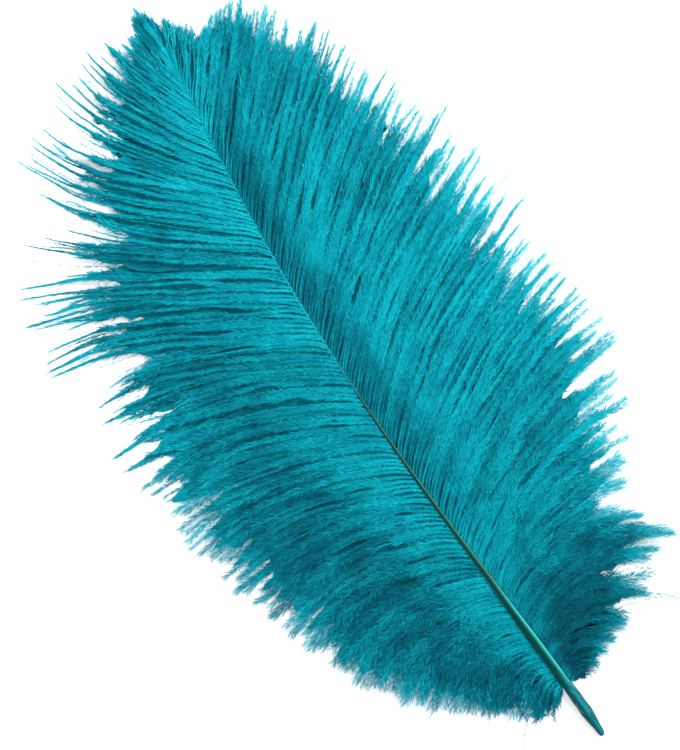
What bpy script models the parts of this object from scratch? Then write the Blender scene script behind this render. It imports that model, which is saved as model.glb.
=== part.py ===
"""An ostrich feather lying on a flat surface, as one closed solid.

A slim tapering quill carries two loose vanes. Each vane is a row of tapering locks of barbs that grow
from the side of the quill, overlap near it and end in free points. The quill and its locks grew as one
piece, so they are joined into one solid, trimmed flat where they press on the surface below.
"""
import bmesh
import bpy
import numpy as np

MM = 0.001
UP = np.array((0.0, 0.0, 1.0))

# The quill: its length, its sideways bow, its arch off the surface, and its radius at shares of its length.
QUILL_LENGTH = 283 * MM
QUILL_BOW = 8.5 * MM
QUILL_BOW_SKEW = 1.25
QUILL_ARCH = 5.5 * MM
QUILL_ARCH_SKEW = 0.95
QUILL_REST_HEIGHT = 1.15 * MM
QUILL_SHARES = (0.0, 0.008, 0.035, 0.085, 0.25, 0.50, 1.0)
QUILL_RADII = np.array((1.0, 1.5, 2.15, 1.8, 1.3, 0.8, 0.35)) * MM
QUILL_POINT_SHARE = 1.008
QUILL_RINGS = 26
QUILL_RING_CROWDING = 1.3
QUILL_SIDES = 8

# Each vane by share of the quill's length: the angle at which a barb leaves the quill, the angle at
# which it ends, both from the quill's own direction, in degrees, and the barb's length in mm.
RIGHT_VANE = (
    (0.085, 66, 150, 15),
    (0.10, 65, 148, 25),
    (0.12, 64, 144, 39),
    (0.14, 63, 138, 49),
    (0.17, 61, 128, 63),
    (0.195, 60, 119, 54),
    (0.215, 59, 112, 57),
    (0.235, 58, 104, 67),
    (0.26, 56, 98, 85),
    (0.30, 54, 92, 94),
    (0.34, 51, 85, 99),
    (0.45, 46, 76, 97),
    (0.60, 42, 62, 97),
    (0.72, 36, 50, 83),
    (0.84, 33, 38, 61),
    (0.88, 31, 35, 51),
    (0.92, 28, 30, 33),
    (0.96, 22, 25, 18),
    (1.00, 14, 18, 11),
)
LEFT_VANE = (
    (0.085, 108, 172, 17),
    (0.095, 90, 164, 23),
    (0.11, 77, 154, 27),
    (0.14, 68, 143, 36),
    (0.17, 64, 134, 48),
    (0.22, 61, 124, 61),
    (0.32, 58, 106, 78),
    (0.45, 56, 94, 88),
    (0.55, 56, 84, 91),
    (0.62, 57, 74, 94),
    (0.70, 58, 60, 93),
    (0.80, 52, 38, 78),
    (0.88, 38, 24, 53),
    (0.95, 24, 18, 30),
    (1.00, 8, 12, 20),
)
VANES = {+1: RIGHT_VANE, -1: LEFT_VANE}
VANE_START = 0.085
VANE_END = 0.985

# One lock: how many grow on each side, its size at the fullest, and its taper towards both ends.
LOCKS_PER_SIDE = 31
LOCK_WIDTH = 12.5 * MM
LOCK_DEPTH = 4.2 * MM
LOCK_RINGS = 7
LOCK_SECTION = ((-1.0, 0.0), (-0.45, -1.0), (0.45, -1.0), (1.0, 0.0), (0.45, 1.0), (-0.45, 1.0))
LOCK_ROOT_WIDTH = 0.62
LOCK_FULLEST = 0.38
LOCK_TAPER = 1.7
FULL_WIDTH_LENGTH = 60 * MM
LEAST_WIDTH = 0.55
DEPTH_FOLLOWS_WIDTH = 0.6
SHINGLE_TILT = 0.30

# How high a lock runs: it leaves the quill's height, rises over a crown and comes down to its tip.
ROOT_HEIGHT_FALL = 1.6
CROWN_HEIGHT = 0.9 * MM
TIP_HEIGHT = 0.3 * MM

# How far locks differ from their neighbours, and where each kind of difference starts its turns.
LENGTH_VARIES = 0.12
ANGLE_VARIES = 7.0
TIP_VARIES = 2.8 * MM
LAYER_VARIES = 2.4 * MM
GOLDEN_SHARE = 0.618034
STARTS = {"angle": 0.3, "length": 0.55, "tip": 0.2, "layer": 0.8}
SIDE_SHIFT = 0.3

# The point of the plan that stands at the part's origin: the middle of its bounding box.
BOX_MIDDLE = np.array((-6.25, 150.52)) * MM


def spread(what, side, index):
    """An even but irregular value from -0.5 to 0.5, by steps of the golden share of a turn."""
    return (index * GOLDEN_SHARE + STARTS[what] + SIDE_SHIFT * side) % 1.0 - 0.5


def quill_point(share):
    """The quill's centre at a share of its length: it bows to the left and arches off the surface."""
    share = np.asarray(share, float)
    inside = np.clip(share, 0, 1)
    x = -QUILL_BOW * np.sin(np.pi * inside**QUILL_BOW_SKEW)
    z = QUILL_REST_HEIGHT + QUILL_ARCH * np.sin(np.pi * inside**QUILL_ARCH_SKEW)
    return np.stack([x - BOX_MIDDLE[0], QUILL_LENGTH * share - BOX_MIDDLE[1], z], axis=-1)


def quill_heading(share):
    """The quill's direction in plan, as an angle from +Y towards +X."""
    near = 0.001
    step = quill_point(share + near) - quill_point(share - near)
    return np.arctan2(step[..., 0], step[..., 1])


def to_the_right(heading):
    """Level unit vectors a quarter turn to the right of each heading."""
    return np.stack([np.cos(heading), -np.sin(heading), np.zeros_like(heading)], axis=-1)


def lock_line(side, index):
    """The centreline of one lock: it leaves the quill at one angle, turns evenly to another, and
    rises over a low crown before its tip comes down to the surface."""
    share = VANE_START + (VANE_END - VANE_START) * (index + 0.5) / LOCKS_PER_SIDE
    stations, starts, ends, lengths = np.array(VANES[side], float).T
    start = np.interp(share, stations, starts)
    end = np.interp(share, stations, ends) + ANGLE_VARIES * spread("angle", side, index)
    length = np.interp(share, stations, lengths) * MM * (1 + LENGTH_VARIES * spread("length", side, index))

    along = np.linspace(0, 1, LOCK_RINGS + 1)
    middle = (along[1:] + along[:-1]) / 2
    heading = quill_heading(share) + side * np.radians(start + (end - start) * middle)
    steps = np.stack([np.sin(heading), np.cos(heading)], axis=1) * length / LOCK_RINGS
    root = quill_point(share)
    plan = root[:2] + np.concatenate([[(0, 0)], np.cumsum(steps, axis=0)])

    tip = TIP_HEIGHT + TIP_VARIES * (0.5 + spread("tip", side, index))
    crown = CROWN_HEIGHT + LAYER_VARIES * spread("layer", side, index)
    height = root[2] * (1 - along) ** ROOT_HEIGHT_FALL + tip * along + crown * np.sin(np.pi * along)
    turned = np.concatenate([heading[:1], (heading[1:] + heading[:-1]) / 2, heading[-1:]])
    return np.column_stack([plan, height]), turned, along, length


def lock_width(along, length):
    """A lock's width: part of the full width at its root, full by a third of the way, then a long taper."""
    rise = LOCK_ROOT_WIDTH + (1 - LOCK_ROOT_WIDTH) * np.clip(along / LOCK_FULLEST, 0, 1)
    fall = 1 - np.clip((along - LOCK_FULLEST) / (1 - LOCK_FULLEST), 0, 1) ** LOCK_TAPER
    return LOCK_WIDTH * rise * fall * np.clip(length / FULL_WIDTH_LENGTH, LEAST_WIDTH, 1.0)


def linked(name, data):
    """A new object with this mesh, in the scene."""
    made = bpy.data.objects.new(name, data)
    bpy.context.scene.collection.objects.link(made)
    return made


def closed_tube(name, rings, tip):
    """A closed mesh through equal rings of points: a flat end on the first and a point past the last."""
    sides = len(rings[0])
    mesh = bmesh.new()
    loops = [[mesh.verts.new(point) for point in ring] for ring in rings]
    mesh.faces.new(loops[0])
    for first, second in zip(loops, loops[1:]):
        for i in range(sides):
            j = (i + 1) % sides
            mesh.faces.new((first[i], first[j], second[j], second[i]))
    end = mesh.verts.new(tip)
    for i in range(sides):
        mesh.faces.new((loops[-1][i], loops[-1][(i + 1) % sides], end))
    bmesh.ops.triangulate(mesh, faces=mesh.faces)
    bmesh.ops.recalc_face_normals(mesh, faces=mesh.faces)
    data = bpy.data.meshes.new(name)
    mesh.to_mesh(data)
    mesh.free()
    return linked(name, data)


def make_lock(side, index):
    """One lock: a six-sided blade, thicker in the middle, that leans on its neighbour like a shingle."""
    line, heading, along, length = lock_line(side, index)
    width = lock_width(along, length)
    depth = LOCK_DEPTH * (width / LOCK_WIDTH) ** DEPTH_FOLLOWS_WIDTH
    across = to_the_right(heading) + UP * side * SHINGLE_TILT
    rings = [
        [line[k] + across[k] * width[k] / 2 * u + UP * depth[k] / 2 * v for u, v in LOCK_SECTION]
        for k in range(LOCK_RINGS)
    ]
    name = f"lock_{'right' if side > 0 else 'left'}_{index:02d}"
    return closed_tube(name, rings, line[-1])


def make_quill():
    """The quill: a round tube that swells just above its blunt end and then tapers to the tip."""
    shares = np.linspace(0, 1, QUILL_RINGS) ** QUILL_RING_CROWDING
    centres = quill_point(shares)
    radii = np.interp(shares, QUILL_SHARES, QUILL_RADII)
    across = to_the_right(quill_heading(shares))
    turns = (np.arange(QUILL_SIDES) + 0.5) * 2 * np.pi / QUILL_SIDES
    rings = [
        [centres[k] + radii[k] * (across[k] * np.cos(turn) + UP * np.sin(turn)) for turn in turns]
        for k in range(QUILL_RINGS)
    ]
    return closed_tube("feather", rings, quill_point(QUILL_POINT_SHARE))


def as_helper(made):
    """Leaves an object out of the render, for one that only shapes another."""
    made.hide_render = True
    made.display_type = "WIRE"


def make_surface():
    """A block whose top is the surface that the feather lies on."""
    side = 2 * QUILL_LENGTH
    deep = 20 * MM
    mesh = bmesh.new()
    bmesh.ops.create_cube(mesh, size=1.0)
    bmesh.ops.scale(mesh, vec=(side, side, deep), verts=mesh.verts)
    bmesh.ops.translate(mesh, vec=(0, 0, -deep / 2), verts=mesh.verts)
    data = bpy.data.meshes.new("surface")
    mesh.to_mesh(data)
    mesh.free()
    made = linked("surface", data)
    as_helper(made)
    return made


def make_locks():
    """Both vanes' locks, in a collection of their own."""
    locks = bpy.data.collections.new("locks")
    bpy.context.scene.collection.children.link(locks)
    for side in VANES:
        for index in range(LOCKS_PER_SIDE):
            lock = make_lock(side, index)
            bpy.context.scene.collection.objects.unlink(lock)
            locks.objects.link(lock)
            as_helper(lock)
    return locks


def dyed_barbs():
    """Teal dye on soft barbs."""
    made = bpy.data.materials.new("dyed_barbs")
    made.use_nodes = True
    shader = made.node_tree.nodes["Principled BSDF"]
    shader.inputs["Base Color"].default_value = (0.003, 0.29, 0.38, 1)
    shader.inputs["Roughness"].default_value = 0.6
    shader.inputs["Metallic"].default_value = 0.0
    return made


def main():
    for old in list(bpy.data.objects):
        bpy.data.objects.remove(old)
    feather = make_quill()
    feather.data.materials.append(dyed_barbs())

    # The locks' roots lie inside one another and the quill, where the exact solver leaves open edges.
    grown = feather.modifiers.new("grown together", "BOOLEAN")
    grown.operation = "UNION"
    grown.operand_type = "COLLECTION"
    grown.collection = make_locks()
    grown.solver = "MANIFOLD"

    laid = feather.modifiers.new("laid on the surface", "BOOLEAN")
    laid.operation = "DIFFERENCE"
    laid.object = make_surface()
    laid.solver = "MANIFOLD"


main()
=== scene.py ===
"""The looks of a dyed ostrich feather: its quill, its barbs and their barbules, lying on a pale floor."""

import bpy
import numpy as np
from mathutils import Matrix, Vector

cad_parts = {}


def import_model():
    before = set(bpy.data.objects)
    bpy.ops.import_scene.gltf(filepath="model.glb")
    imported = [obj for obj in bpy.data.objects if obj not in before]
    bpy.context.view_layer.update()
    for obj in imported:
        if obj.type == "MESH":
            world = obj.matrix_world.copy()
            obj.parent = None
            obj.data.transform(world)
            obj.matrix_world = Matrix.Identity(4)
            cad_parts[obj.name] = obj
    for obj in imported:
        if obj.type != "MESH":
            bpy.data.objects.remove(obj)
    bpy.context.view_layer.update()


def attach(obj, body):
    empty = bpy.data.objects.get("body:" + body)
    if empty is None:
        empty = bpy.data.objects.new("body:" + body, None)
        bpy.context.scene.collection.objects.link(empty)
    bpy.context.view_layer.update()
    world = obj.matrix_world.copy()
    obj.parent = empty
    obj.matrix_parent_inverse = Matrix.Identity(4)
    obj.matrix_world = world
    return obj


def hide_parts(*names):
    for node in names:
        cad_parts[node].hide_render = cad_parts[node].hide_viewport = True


MM = 0.001
UP = np.array((0.0, 0.0, 1.0))

# The quill, as in the frame: its length, its sideways bow and its arch off the floor.
QUILL_LENGTH = 283 * MM
QUILL_BOW = 8.5 * MM
QUILL_BOW_SKEW = 1.25
QUILL_ARCH = 5.5 * MM
QUILL_ARCH_SKEW = 0.95
QUILL_REST_HEIGHT = 1.15 * MM
BOX_MIDDLE = np.array((-6.25, 150.52)) * MM

# The quill's radius in mm at shares of its length: a rounded knob, a swollen end and a long taper. Its
# rings stand closer together towards that end.
QUILL_PROFILE = (
    (0.0, 0.50),
    (0.002, 1.00),
    (0.007, 1.30),
    (0.013, 1.35),
    (0.022, 1.75),
    (0.036, 2.20),
    (0.055, 2.15),
    (0.085, 1.75),
    (0.11, 1.75),
    (0.15, 1.70),
    (0.21, 1.36),
    (0.27, 1.02),
    (0.32, 0.84),
    (0.40, 0.66),
    (0.50, 0.55),
    (1.0, 0.25),
)
QUILL_RINGS = 280
QUILL_RING_CROWDING = 1.5
QUILL_SIDES = 28
LEAST_QUILL_HEIGHT = 0.05 * MM

# A shallow groove up the quill's left: its depth as a share of the radius, its angle, its half width, and
# the shares of the length over which it sets in and fades.
GROOVE_DEPTH = 0.14
GROOVE_ANGLE = 0.66 * np.pi
GROOVE_HALF_WIDTH = 0.45
GROOVE_RISE, GROOVE_FALL = (0.07, 0.12), (0.40, 0.55)

# Creases that wander round the dried, swollen end: the depth as a share of the radius, the angle, how far
# it sways, how fast along the length and from where, and the half width.
CREASES = (
    (0.28, 1.1, 0.9, 95, 0.0, 0.30),
    (0.24, 2.2, 0.7, 140, 1.5, 0.35),
)
DRIED_RISE, DRIED_FALL = (0.010, 0.025), (0.060, 0.085)

# Each vane by share of the quill's length: the angle at which a barb leaves the quill, the angle at
# which it ends, both from the quill's own direction, in degrees, and the barb's length in mm.
RIGHT_VANE = (
    (0.075, 68, 152, 9),
    (0.085, 66, 150, 14),
    (0.10, 65, 148, 24),
    (0.12, 64, 144, 36),
    (0.14, 63, 138, 45),
    (0.17, 61, 128, 57),
    (0.188, 60, 121, 55),
    (0.198, 60, 118, 53),
    (0.208, 59, 114, 56),
    (0.22, 58, 110, 65),
    (0.235, 58, 104, 73),
    (0.26, 56, 98, 80),
    (0.30, 54, 92, 91),
    (0.34, 51, 85, 97),
    (0.45, 46, 76, 96),
    (0.50, 45, 72, 99),
    (0.60, 42, 62, 94),
    (0.72, 36, 50, 83),
    (0.84, 33, 38, 62),
    (0.88, 31, 35, 50),
    (0.92, 28, 30, 32),
    (0.96, 22, 25, 21),
    (1.00, 14, 18, 14),
)
LEFT_VANE = (
    (0.075, 128, 172, 10),
    (0.085, 108, 168, 15),
    (0.095, 90, 161, 20),
    (0.11, 77, 153, 25),
    (0.14, 68, 143, 33),
    (0.17, 64, 133, 45),
    (0.22, 61, 122, 58),
    (0.26, 60, 113, 66),
    (0.32, 58, 101, 75),
    (0.40, 57, 93, 82),
    (0.45, 56, 88, 83),
    (0.50, 56, 84, 82),
    (0.55, 56, 80, 79),
    (0.62, 57, 72, 77),
    (0.67, 58, 66, 76),
    (0.70, 58, 61, 76),
    (0.75, 55, 49, 66),
    (0.80, 52, 38, 54),
    (0.84, 45, 31, 50),
    (0.88, 38, 24, 44),
    (0.92, 31, 21, 35),
    (0.95, 24, 18, 28),
    (1.00, 8, 12, 20),
)
VANES = {+1: RIGHT_VANE, -1: LEFT_VANE}
SIDE_NAMES = {+1: "right", -1: "left"}
VANE_START = 0.075
VANE_END = 1.0

# Locks that stand out past their neighbours: the share of the quill they grow from, half the stretch of
# it they take up, their length in mm, how closely they hold at their tips, from where along them, and
# how full their barbules stay to the end.
RIGHT_LOCKS = (
    (0.102, 0.004, 25, 0.40, 0.60, 0.6),
    (0.117, 0.005, 34, 0.40, 0.60, 0.6),
    (0.131, 0.006, 46, 0.40, 0.60, 0.6),
    (0.152, 0.007, 60, 0.40, 0.65, 0.6),
    (0.169, 0.007, 66, 0.40, 0.65, 0.6),
    (0.188, 0.006, 60, 0.40, 0.65, 0.6),
    (0.216, 0.006, 67, 0.35, 0.60, 0.8),
    (0.232, 0.005, 74, 0.30, 0.75, 0.5),
    (0.250, 0.006, 83, 0.30, 0.80, 0.4),
    (0.270, 0.005, 85, 0.30, 0.80, 0.4),
    (0.290, 0.006, 94, 0.35, 0.80, 0.4),
    (0.317, 0.004, 97, 0.35, 0.80, 0.3),
    (0.328, 0.005, 101, 0.35, 0.80, 0.3),
    (0.365, 0.008, 97, 0.25, 0.82, 0.6),
    (0.392, 0.007, 95, 0.25, 0.82, 0.6),
    (0.429, 0.005, 104, 0.28, 0.84, 0.4),
    (0.462, 0.007, 101, 0.22, 0.84, 0.6),
    (0.493, 0.008, 104, 0.25, 0.82, 0.6),
    (0.533, 0.005, 101, 0.25, 0.82, 0.5),
    (0.548, 0.005, 106, 0.35, 0.85, 0.3),
    (0.592, 0.005, 97, 0.45, 0.80, 0.3),
    (0.620, 0.005, 95, 0.45, 0.80, 0.3),
    (0.638, 0.003, 95, 0.70, 0.80, 0.2),
    (0.678, 0.005, 86, 0.45, 0.80, 0.4),
    (0.690, 0.004, 90, 0.60, 0.80, 0.3),
    (0.719, 0.004, 84, 0.60, 0.80, 0.3),
    (0.742, 0.005, 82, 0.50, 0.80, 0.4),
    (0.800, 0.006, 67, 0.40, 0.80, 0.6),
    (0.850, 0.006, 59, 0.40, 0.80, 0.7),
)
LEFT_LOCKS = (
    (0.438, 0.007, 84, 0.55, 0.80, 1.1),
    (0.478, 0.008, 88, 0.50, 0.74, 0.8),
    (0.492, 0.006, 94, 0.70, 0.72, 0.6),
    (0.514, 0.010, 93, 0.80, 0.68, 0.6),
    (0.548, 0.011, 90, 0.85, 0.62, 0.5),
    (0.571, 0.008, 88, 0.90, 0.60, 0.5),
    (0.608, 0.010, 98, 0.90, 0.55, 0.9),
    (0.627, 0.008, 101, 0.90, 0.55, 0.7),
    (0.644, 0.007, 99, 0.90, 0.55, 0.7),
    (0.660, 0.008, 98, 0.85, 0.55, 1.4),
    (0.674, 0.006, 95, 0.90, 0.52, 1.0),
    (0.685, 0.005, 101, 0.90, 0.52, 0.6),
    (0.707, 0.006, 100, 0.92, 0.52, 0.4),
    (0.742, 0.007, 88, 0.92, 0.42, 0.5),
    (0.762, 0.010, 93, 0.93, 0.40, 0.6),
    (0.783, 0.010, 84, 0.93, 0.40, 0.6),
    (0.803, 0.009, 77, 0.93, 0.38, 0.6),
    (0.820, 0.007, 73, 0.93, 0.38, 0.5),
    (0.837, 0.010, 69, 0.93, 0.36, 0.6),
    (0.858, 0.010, 60, 0.90, 0.36, 0.6),
    (0.879, 0.010, 56, 0.90, 0.36, 0.6),
    (0.912, 0.012, 43, 0.85, 0.36, 0.6),
)
LOCKS = {+1: RIGHT_LOCKS, -1: LEFT_LOCKS}

# How the other barbs gather, by share of the quill's length: where along a barb its lock starts to draw
# together, how closely the lock holds at its tips, how closely pairs hold, how much of a barb's tip is
# bare, how far locks differ in angle in degrees, how much shorter than its lock a barb may be, and how
# far the tips turn back towards the quill's own direction in degrees.
RIGHT_HABITS = (
    (0.075, 0.60, 0.30, 0.5, 0.02, 3.0, 0.14, 0),
    (0.17, 0.65, 0.30, 0.5, 0.03, 2.0, 0.14, 0),
    (0.25, 0.78, 0.15, 0.4, 0.03, 1.3, 0.14, 0),
    (0.40, 0.82, 0.12, 0.4, 0.03, 1.1, 0.13, -4),
    (0.80, 0.82, 0.15, 0.4, 0.03, 1.2, 0.12, 0),
    (1.00, 0.70, 0.25, 0.5, 0.03, 1.5, 0.12, 0),
)
LEFT_HABITS = (
    (0.075, 0.60, 0.20, 0.5, 0.04, 9.0, 0.45, 0),
    (0.095, 0.70, 0.15, 0.4, 0.02, 6.0, 0.30, 0),
    (0.13, 0.85, 0.05, 0.3, 0.00, 1.0, 0.08, 0),
    (0.42, 0.85, 0.05, 0.3, 0.01, 0.8, 0.09, 0),
    (0.48, 0.75, 0.25, 0.5, 0.03, 1.6, 0.15, 8),
    (0.58, 0.62, 0.60, 0.6, 0.06, 2.0, 0.20, 14),
    (0.655, 0.58, 0.62, 0.6, 0.06, 2.0, 0.22, 12),
    (0.70, 0.55, 0.65, 0.6, 0.06, 2.0, 0.22, -8),
    (0.75, 0.50, 0.75, 0.6, 0.06, 2.4, 0.24, -22),
    (0.88, 0.50, 0.75, 0.6, 0.06, 2.4, 0.24, -14),
    (0.94, 0.55, 0.35, 0.4, 0.03, 2.0, 0.14, 0),
    (1.00, 0.55, 0.20, 0.4, 0.02, 1.5, 0.12, 0),
)
HABITS = {+1: RIGHT_HABITS, -1: LEFT_HABITS}

# Gaps where neighbouring barbs have parted: the share of the quill they grow from, where along the barbs
# the gap opens and closes, and its width in mm.
RIGHT_PARTINGS = (
    (0.835, 0.04, 0.60, 1.4),
    (0.600, 0.40, 0.66, 1.3),
    (0.930, 0.20, 0.80, 0.8),
    (0.112, 0.40, 0.80, 1.8),
    (0.138, 0.45, 0.72, 1.6),
)
LEFT_PARTINGS = (
    (0.672, 0.30, 0.50, 0.7),
    (0.647, 0.52, 0.66, 0.8),
    (0.588, 0.36, 0.58, 0.7),
    (0.520, 0.42, 0.60, 0.8),
    (0.556, 0.13, 0.20, 0.4),
    (0.481, 0.12, 0.18, 0.4),
)
PARTINGS = {+1: RIGHT_PARTINGS, -1: LEFT_PARTINGS}

# Small gaps spread over each vane besides: where along the barbs they open, how long they run, and the
# least and the most of their widths in mm. Over what share of its run any gap opens and closes, and how far
# along the quill it moves the barbs beside it.
SMALL_PARTINGS = 110
PARTING_OPENS = (0.06, 0.80)
PARTING_RUN = (0.08, 0.28)
PARTING_WIDTHS = {+1: (0.15, 0.7), -1: (0.15, 0.5)}
PARTING_RIM = 0.35
PARTING_REACH = 0.008

# Thin barbs that stand out past the rest: the stretch of the quill they grow from, how many there are,
# and the least and the most of their lengths in mm.
RIGHT_WISPS = (
    (0.137, 0.138, 1, 57, 57),
    (0.206, 0.207, 1, 74, 74),
    (0.219, 0.220, 1, 71, 71),
    (0.232, 0.233, 1, 80, 80),
    (0.262, 0.263, 1, 92, 92),
    (0.27, 0.44, 34, 86, 103),
    (0.396, 0.402, 2, 97, 107),
    (0.44, 0.56, 34, 92, 109),
    (0.452, 0.460, 2, 108, 111),
    (0.480, 0.482, 1, 105, 105),
    (0.569, 0.570, 1, 99, 99),
    (0.56, 0.68, 18, 88, 101),
    (0.610, 0.611, 1, 104, 104),
    (0.68, 0.80, 8, 76, 84),
    (0.10, 0.20, 10, 48, 60),
)
LEFT_WISPS = (
    (0.09, 0.40, 12, 30, 72),
    (0.46, 0.56, 10, 80, 92),
    (0.563, 0.564, 1, 87, 87),
    (0.590, 0.596, 3, 74, 82),
    (0.60, 0.68, 6, 82, 98),
    (0.700, 0.702, 1, 97, 97),
    (0.742, 0.743, 1, 87, 87),
    (0.764, 0.766, 2, 86, 90),
    (0.78, 0.85, 6, 58, 74),
    (0.85, 0.92, 4, 42, 54),
)
WISPS = {+1: RIGHT_WISPS, -1: LEFT_WISPS}

# Barbs: how many stand in each layer of a vane, how finely each is drawn, and how many make a lock or a
# pair. The wisps are a layer of their own. Barbs crowd towards the quill's end, and both their spacing and
# the sizes of their groups vary.
TOP, UNDER, WISP = 0, 1, 2
LAYER_COUNTS = (158, 110)
BASE_CROWDING = 0.5
CROWDING_FALL = (0.12, 0.34)
UNEVEN = 0.2
STATIONS = np.linspace(0, 1, 31) ** 1.3
BARBS_A_LOCK = 4.6
BARBS_A_PAIR = 3.2
GROUP_VARIES = 0.35
VANE_SEED = 7

# How locks and barbs differ: in how closely they hold, in length, and in how full they stay to the end,
# which is fuller near the quill's end. Few barbs stray, by so many degrees and so many mm upwards.
HOLD_VARIES = (0.7, 1.2)
LOCKS_SHORTER = 0.5
FLUFFY_UP_TO = {+1: 0.24, -1: 0.44}
FLUFFY, SLIM = 0.9, 0.45
NAMED_LOCK_ANGLE_VARIES = 0.5
NAMED_LOCK_SHORTER = (0.08, 0.17)
SHORTER_SKEW = 1.3
UNDER_KEPT = {+1: 0.90, -1: 0.94}
STRAY_SHARE = 0.035
STRAY_TURN = (9, 16)
STRAY_LIFT = 1.2

# The barbs' directions in degrees: how far they vary at their roots and tips, how much less steeply they
# start and over what length, where their tips turn, where a lock that gathers is all drawn together, and
# waves as sizes and numbers of radians.
START_VARIES, END_VARIES = 0.8, 1.6
ROOT_LEAN = 0.45
ROOT_LEAN_REACH = 2.2 * MM
TIP_TURNS_FROM = 0.55
TOGETHER_BY = 1.02
LOCK_WAVES = ((2.2, 9), (2.2, 23))
OWN_WAVES = ((1.6, 14), (2.0, 37))

# The barbs' roots beside the quill, in radii: out at its flanks, and drawn in over its top where it is thin
# and they cover it.
COVERED_RISE = (0.44, 0.58)
ROOT_BESIDE, ROOT_DRAWN_IN = 0.95, 0.45
ROOT_SINK, ROOT_CLIMB = 0.35, 0.5

# The barbs' heights in mm: at their tips, how far they crown between root and tip, how far single barbs
# differ from their lock, how each layer's roots and crown differ, and how fast the root's height is lost.
TIP_HEIGHT = (0.3, 3.0)
CROWN_HEIGHT = (0.0, 1.8)
HEIGHT_VARIES = 0.4
LAYER_ROOTS = np.array((0.4, -0.6, -0.2))
LAYER_CROWNS = np.array((0.0, -1.3, -0.5))
ROOT_HEIGHT_FALL = 1.6
LEAST_BARB_HEIGHT = 0.3 * MM

# The barbs' stems: the radius in mm that tapers off, the radius that stays, and the shape of the taper.
STEM_TAPERS, STEM_STAYS, STEM_TAPER = 0.19, 0.035, 0.7
STEM_CORNERS = np.array((1 / 2, 7 / 6, 11 / 6)) * np.pi
WISP_THICKNESS = 0.45

# Barbules: their spacing along a barb in each layer, their length and width at the fullest and how both
# vary, how bare tips vary, and where along the quill the downy barbs give way to firmer ones.
BARBULE_SPACING = np.array((0.091, 0.125, 0.45)) * MM
BARBULE_LENGTH = 4.0 * MM
BARBULE_WIDTH = 0.17 * MM
BARBULE_LENGTH_VARIES = (0.6, 1.2)
BARBULE_WIDTH_VARIES = (0.7, 1.25)
LEAST_BARBULE_HEIGHT = 0.12 * MM
BARE_VARIES = (0.3, 1.3)
DOWNY_FALL = (0.16, 0.42)

# The angle of the barbules to their barb in degrees: at its root, how much less further up, how much more
# and how unevenly near the quill's end, and how much narrower in the left vane's upper half and where a lock
# holds closely.
SPRAY, SPRAY_LESS, SPRAY_RISE = 44, 22, (0.02, 0.5)
SPRAY_DOWNY = 9
SPRAY_VARIES, SPRAY_VARIES_DOWNY = 12, 4
LEFT_SPRAY_NARROWER, LEFT_SPRAY_RISE = 0.35, (0.5, 0.7)
SLEEK_NARROWER = 0.72
SLEEK_RUN = 0.38

# How barbules curve: their roll about the barb in degrees, how much of their angle they keep, how far they
# are stirred and how much less where a lock holds, how they droop, and how their faces vary.
BARBULE_ROLL = (-20, 48)
BEND_KEEPS = (0.2, 0.8)
BARBULE_STIR, SLEEK_STILL = 0.28, 0.8
BARBULE_DROOP = 0.22
BARBULE_FACES_VARY = 0.30

# How full barbules are, as shares of their full length: near the quill, where they reach it, towards the
# barb's end, in the thin right tip, inside the vane's edge, on wisps and beside gaps.
ROOT_FULLNESS = 0.36
ROOT_FULLNESS_ADDS = {+1: -0.10, -1: 0.14}
ROOT_FULLNESS_RISE = {+1: (0.25, 0.40), -1: (0.38, 0.50)}
FULL_AT = (3 * MM, 20 * MM)
NARROWS_FROM = 0.70
DOWNY_KEEPS, DOWNY_LONGER = 0.4, 0.2
THIN_TIP, THIN_TIP_RISE = 0.85, (0.90, 0.945)
THIN_TIP_SHORTER = 0.5
INSIDE_FULLNESS, INSIDE_FULLNESS_RISE = 0.82, (0.70, 0.92)
WISP_FULLNESS = 0.45
EDGE_FINER, EDGE_FINER_RISE = 0.3, (0.85, 1.0)
GAP_SHORTER, GAP_REACH = 0.6, 0.006

# Down under the vane: fine slivers about the under layer's barbs.
DOWN_SPACING = 0.175 * MM
DOWN_LENGTH = 4.6 * MM
DOWN_WIDTH = 0.5 * MM
DOWN_SPREAD = 2.1 * MM
DOWN_DEPTH = (-0.1, 1.3)
DOWN_END = 0.95
DOWN_TURN = 20
DOWN_FACES_VARY = 0.2
DOWN_LENGTH_VARIES, DOWN_WIDTH_VARIES = (0.7, 1.3), (0.6, 1.2)
DOWN_EDGE_RISE = (0.60, 0.93)
DOWN_EDGE_CLOSER, DOWN_EDGE_SHORTER = 0.5, 0.4
LEAST_DOWN_HEIGHT = 0.15 * MM

# Strips of felted down between the slivers and the barbs, which keep light from passing through: their
# width, how it grows along the barb, where along it they narrow and how unevenly.
WEB_WIDTH = 5.2 * MM
WEB_LEAST_WIDTH = 0.1 * MM
WEB_DROP = 0.7 * MM
WEB_AT_ROOT, WEB_WIDENS = 0.8, 0.7
WEB_NARROWS_FROM = {+1: 0.78, -1: 0.84}
WEB_NARROWS_SOONER = {+1: 0.0, -1: 0.14}
WEB_SOONER_RISE = (0.44, 0.60)
WEB_NARROWS_OVER = 0.2
WEB_RAGGED = (-0.05, 0.03)
WEB_UNEVEN, WEB_EDGE_UNEVEN = 0.15, 2.4
WEB_UNEVEN_RISE = (0.5, 0.8)
LEAST_WEB_HEIGHT = 0.2 * MM

# How deep the colour looks, from 0 for the deepest to 1 for the palest, with dye, painted shade and painted
# light together: on the whole, at the deepest, how locks differ, and how it drifts along each barb, as a
# size and numbers of radians.
MIDDLE_SHADE = 0.515
DEEPEST = 0.12
LOCK_SHADE_VARIES = 0.03
DRIFT, DRIFT_RADIANS = 0.07, (7, 16)
SHADE_SEED = 40
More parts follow.
